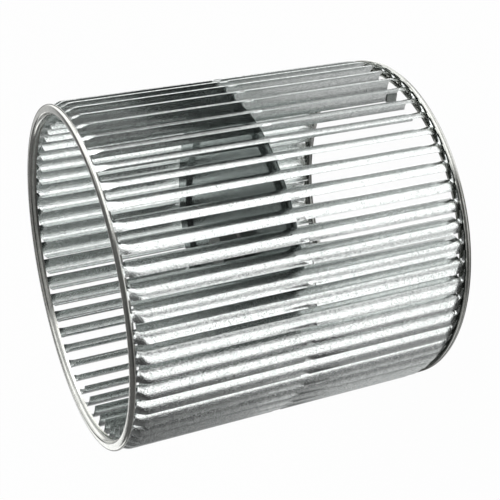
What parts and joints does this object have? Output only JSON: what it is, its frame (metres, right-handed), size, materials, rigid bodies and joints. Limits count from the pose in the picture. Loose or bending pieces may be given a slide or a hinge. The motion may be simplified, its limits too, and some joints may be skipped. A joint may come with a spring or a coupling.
{
  "type": "blower wheel",
  "caption": "Double-inlet blower wheel: a drum of forward-curved sheet blades between two channel rings, carried by a pressed centre disc with a bored hub.",
  "frame": {"origin": "centre of the far end ring's face, under the wheel, on the axis", "axes": "+Z along the wheel's axis towards the open end; +X through the tip of the first blade"},
  "size_m": [0.27, 0.2696, 0.271],
  "materials": {
    "galvanised_blades": "galvanised",
    "galvanised_rings": "galvanised",
    "galvanised_disc": "galvanised",
    "hub_steel": "turned",
    "screw_steel": "black oxide",
    "clip_steel": "bright"
  },
  "bodies": {
    "root": {"blade_strip": "galvanised_blades", "end_ring_open": "galvanised_rings", "end_ring_far": "galvanised_rings", "centre_disc": "galvanised_disc", "hub": "hub_steel", "set_screw": "screw_steel", "balance_clip": "clip_steel"}
  },
  "joints": []
}
